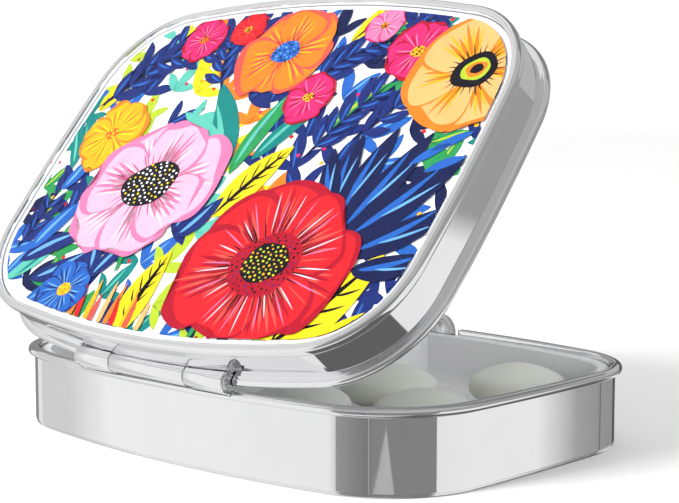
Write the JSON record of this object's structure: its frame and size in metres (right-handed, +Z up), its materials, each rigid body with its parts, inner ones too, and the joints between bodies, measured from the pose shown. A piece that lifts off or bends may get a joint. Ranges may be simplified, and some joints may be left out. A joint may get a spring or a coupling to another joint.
{
  "type": "hinged pocket case",
  "caption": "Rounded-square chrome pocket case with a hinged picture lid standing open, push latch and a divided plastic tray holding round tablets.",
  "frame": {"origin": "centre of the underside of the base plate", "axes": "+Z up out of the base, +Y from the hinge wall to the latch wall, +X along the hinge line, to the right seen from the hinge side"},
  "size_m": [0.0614, 0.049, 0.0461],
  "materials": {
    "shell_chrome": "mirror polished plating",
    "base_plate_chrome": "polished plating",
    "hinge_chrome": "polished plating",
    "pin_steel": "dull cut end",
    "spring_steel": "satin",
    "tray_plastic": "satin moulded",
    "picture_print": "printed paper on card",
    "clear_resin": "clear poured resin, glossy",
    "tablet_green": "smooth pressed"
  },
  "bodies": {
    "base": {"base_floor": "base_plate_chrome", "base_band": "shell_chrome", "tray": "tray_plastic", "hinge_knuckle_left": "hinge_chrome", "hinge_knuckle_right": "hinge_chrome", "hinge_pin": "pin_steel", "latch_foot": "spring_steel", "latch_rivet_left": "spring_steel", "latch_rivet_right": "spring_steel", "tablet_1": "tablet_green", "tablet_2": "tablet_green", "tablet_3": "tablet_green", "tablet_4": "tablet_green"},
    "lid": {"lid_band": "shell_chrome", "lid_plate": "shell_chrome", "lid_bezel": "shell_chrome", "picture_plate": "picture_print", "clear_dome": "clear_resin", "hinge_knuckle_middle": "hinge_chrome"},
    "latch": {"latch_tongue": "spring_steel", "push_button": "shell_chrome"}
  },
  "joints": [
    {"name": "lid_hinge", "type": "hinge", "parent": "base", "child": "lid", "pos_m": [0, -0.02215, 0.00928], "axis": [1, 0, 0], "range_deg": [-50, 55]},
    {"name": "latch_press", "type": "hinge", "parent": "base", "child": "latch", "pos_m": [0, 0.0212, 0.00085], "axis": [1, 0, 0], "range_deg": [0, 3], "stiffness_Nm_per_rad": 0.4}
  ]
}
